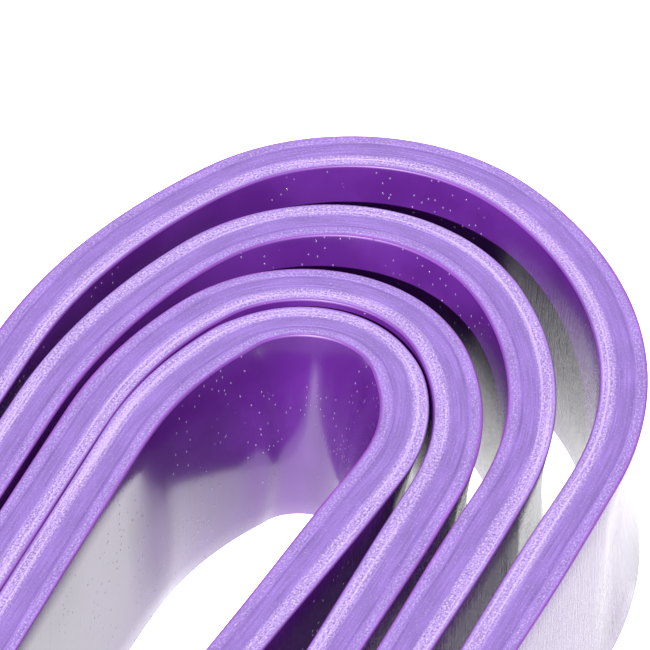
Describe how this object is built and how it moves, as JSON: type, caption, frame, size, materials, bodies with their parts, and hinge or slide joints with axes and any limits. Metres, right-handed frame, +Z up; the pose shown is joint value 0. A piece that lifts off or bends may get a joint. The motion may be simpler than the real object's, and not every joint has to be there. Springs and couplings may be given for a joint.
{
  "type": "loop resistance band",
  "caption": "Endless laminated latex loop band, doubled and folded twice, standing on its cut edge with nested U-bends at one end and hairpin folds at the other.",
  "frame": {"origin": "middle of the folded band's outline, on the surface that its cut edge stands on", "axes": "+Z up along the strap's width, +Y along the runs towards the nested U-bends, +X across the runs"},
  "size_m": [0.0628, 0.271, 0.022],
  "materials": {
    "face_latex": "glossy moulded skin with fine specks",
    "core_latex": "satin cut edge with lengthwise laminate streaks"
  },
  "bodies": {
    "root": {"ply_1_inner_face": "face_latex", "ply_2": "core_latex", "ply_3": "core_latex", "ply_4": "core_latex", "ply_5_core": "core_latex", "ply_6": "core_latex", "ply_7": "core_latex", "ply_8": "core_latex", "ply_9_outer_face": "face_latex"}
  },
  "joints": []
}
